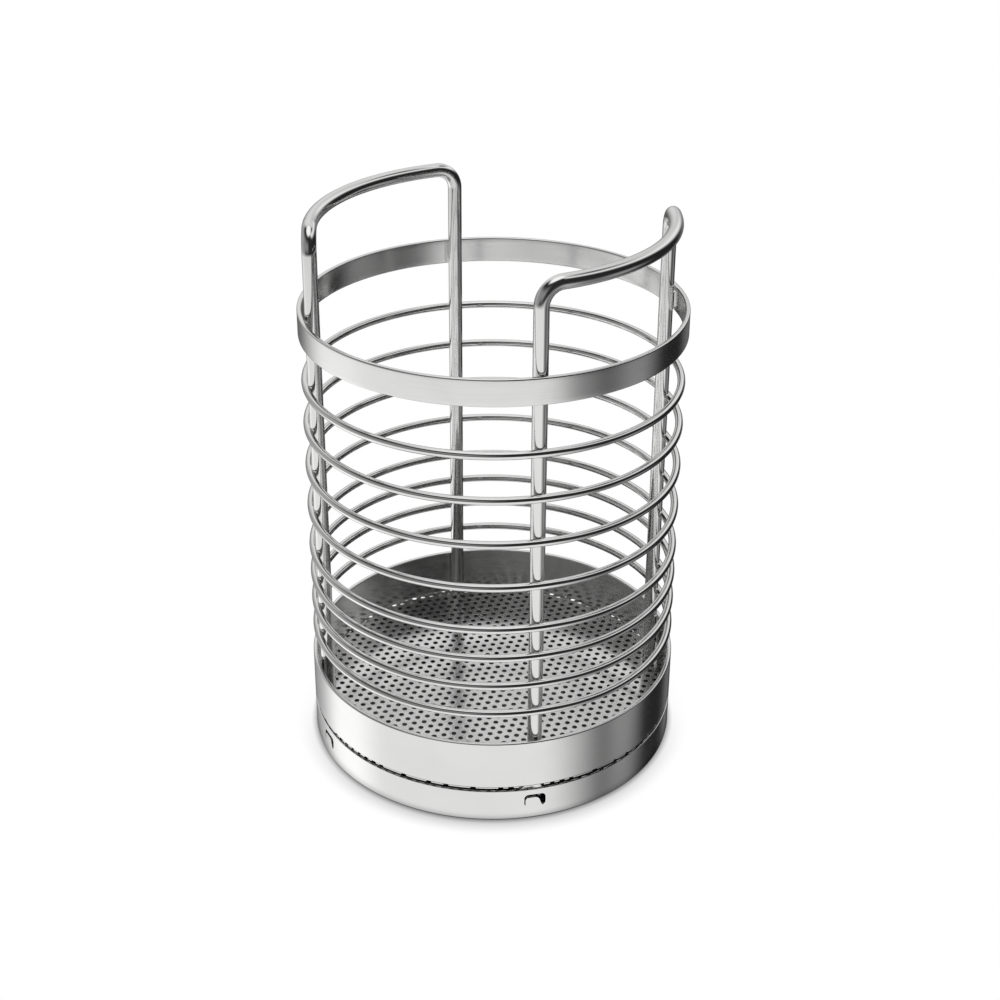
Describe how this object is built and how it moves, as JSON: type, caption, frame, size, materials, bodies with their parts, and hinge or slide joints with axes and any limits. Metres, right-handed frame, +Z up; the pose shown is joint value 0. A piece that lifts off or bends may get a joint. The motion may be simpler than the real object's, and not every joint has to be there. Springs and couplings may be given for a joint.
{
  "type": "utensil drainer",
  "caption": "Round stainless-steel wire basket with a perforated floor and bent-rod handles, standing in a lift-off drip tray, for draining cutlery or tools upright.",
  "frame": {"origin": "centre of the drip tray's underside, which stands on a surface", "axes": "+Z up along the basket's axis; +X through the middle of handle_wire_right; the uprights stand on the diagonals"},
  "size_m": [0.12, 0.12, 0.1777],
  "materials": {
    "polished_sheet": "polished stainless-steel sheet",
    "punched_sheet": "punched stainless-steel sheet, satin polish",
    "drawn_wire": "drawn and polished stainless-steel wire",
    "drawn_rod": "drawn and polished stainless-steel rod"
  },
  "bodies": {
    "tray": {"drip_tray": "polished_sheet"},
    "basket": {"locating_ring": "polished_sheet", "perforated_floor": "punched_sheet", "base_band": "polished_sheet", "rim_band": "polished_sheet", "handle_wire_right": "drawn_rod", "handle_wire_left": "drawn_rod", "wire_ring_1": "drawn_wire", "wire_ring_2": "drawn_wire", "wire_ring_3": "drawn_wire", "wire_ring_4": "drawn_wire", "wire_ring_5": "drawn_wire", "wire_ring_6": "drawn_wire", "wire_ring_7": "drawn_wire", "wire_ring_8": "drawn_wire"}
  },
  "joints": [
    {"name": "basket_lift", "type": "slide", "parent": "tray", "child": "basket", "axis": [0, 0, 1], "range_m": [0, 0.05]}
  ]
}
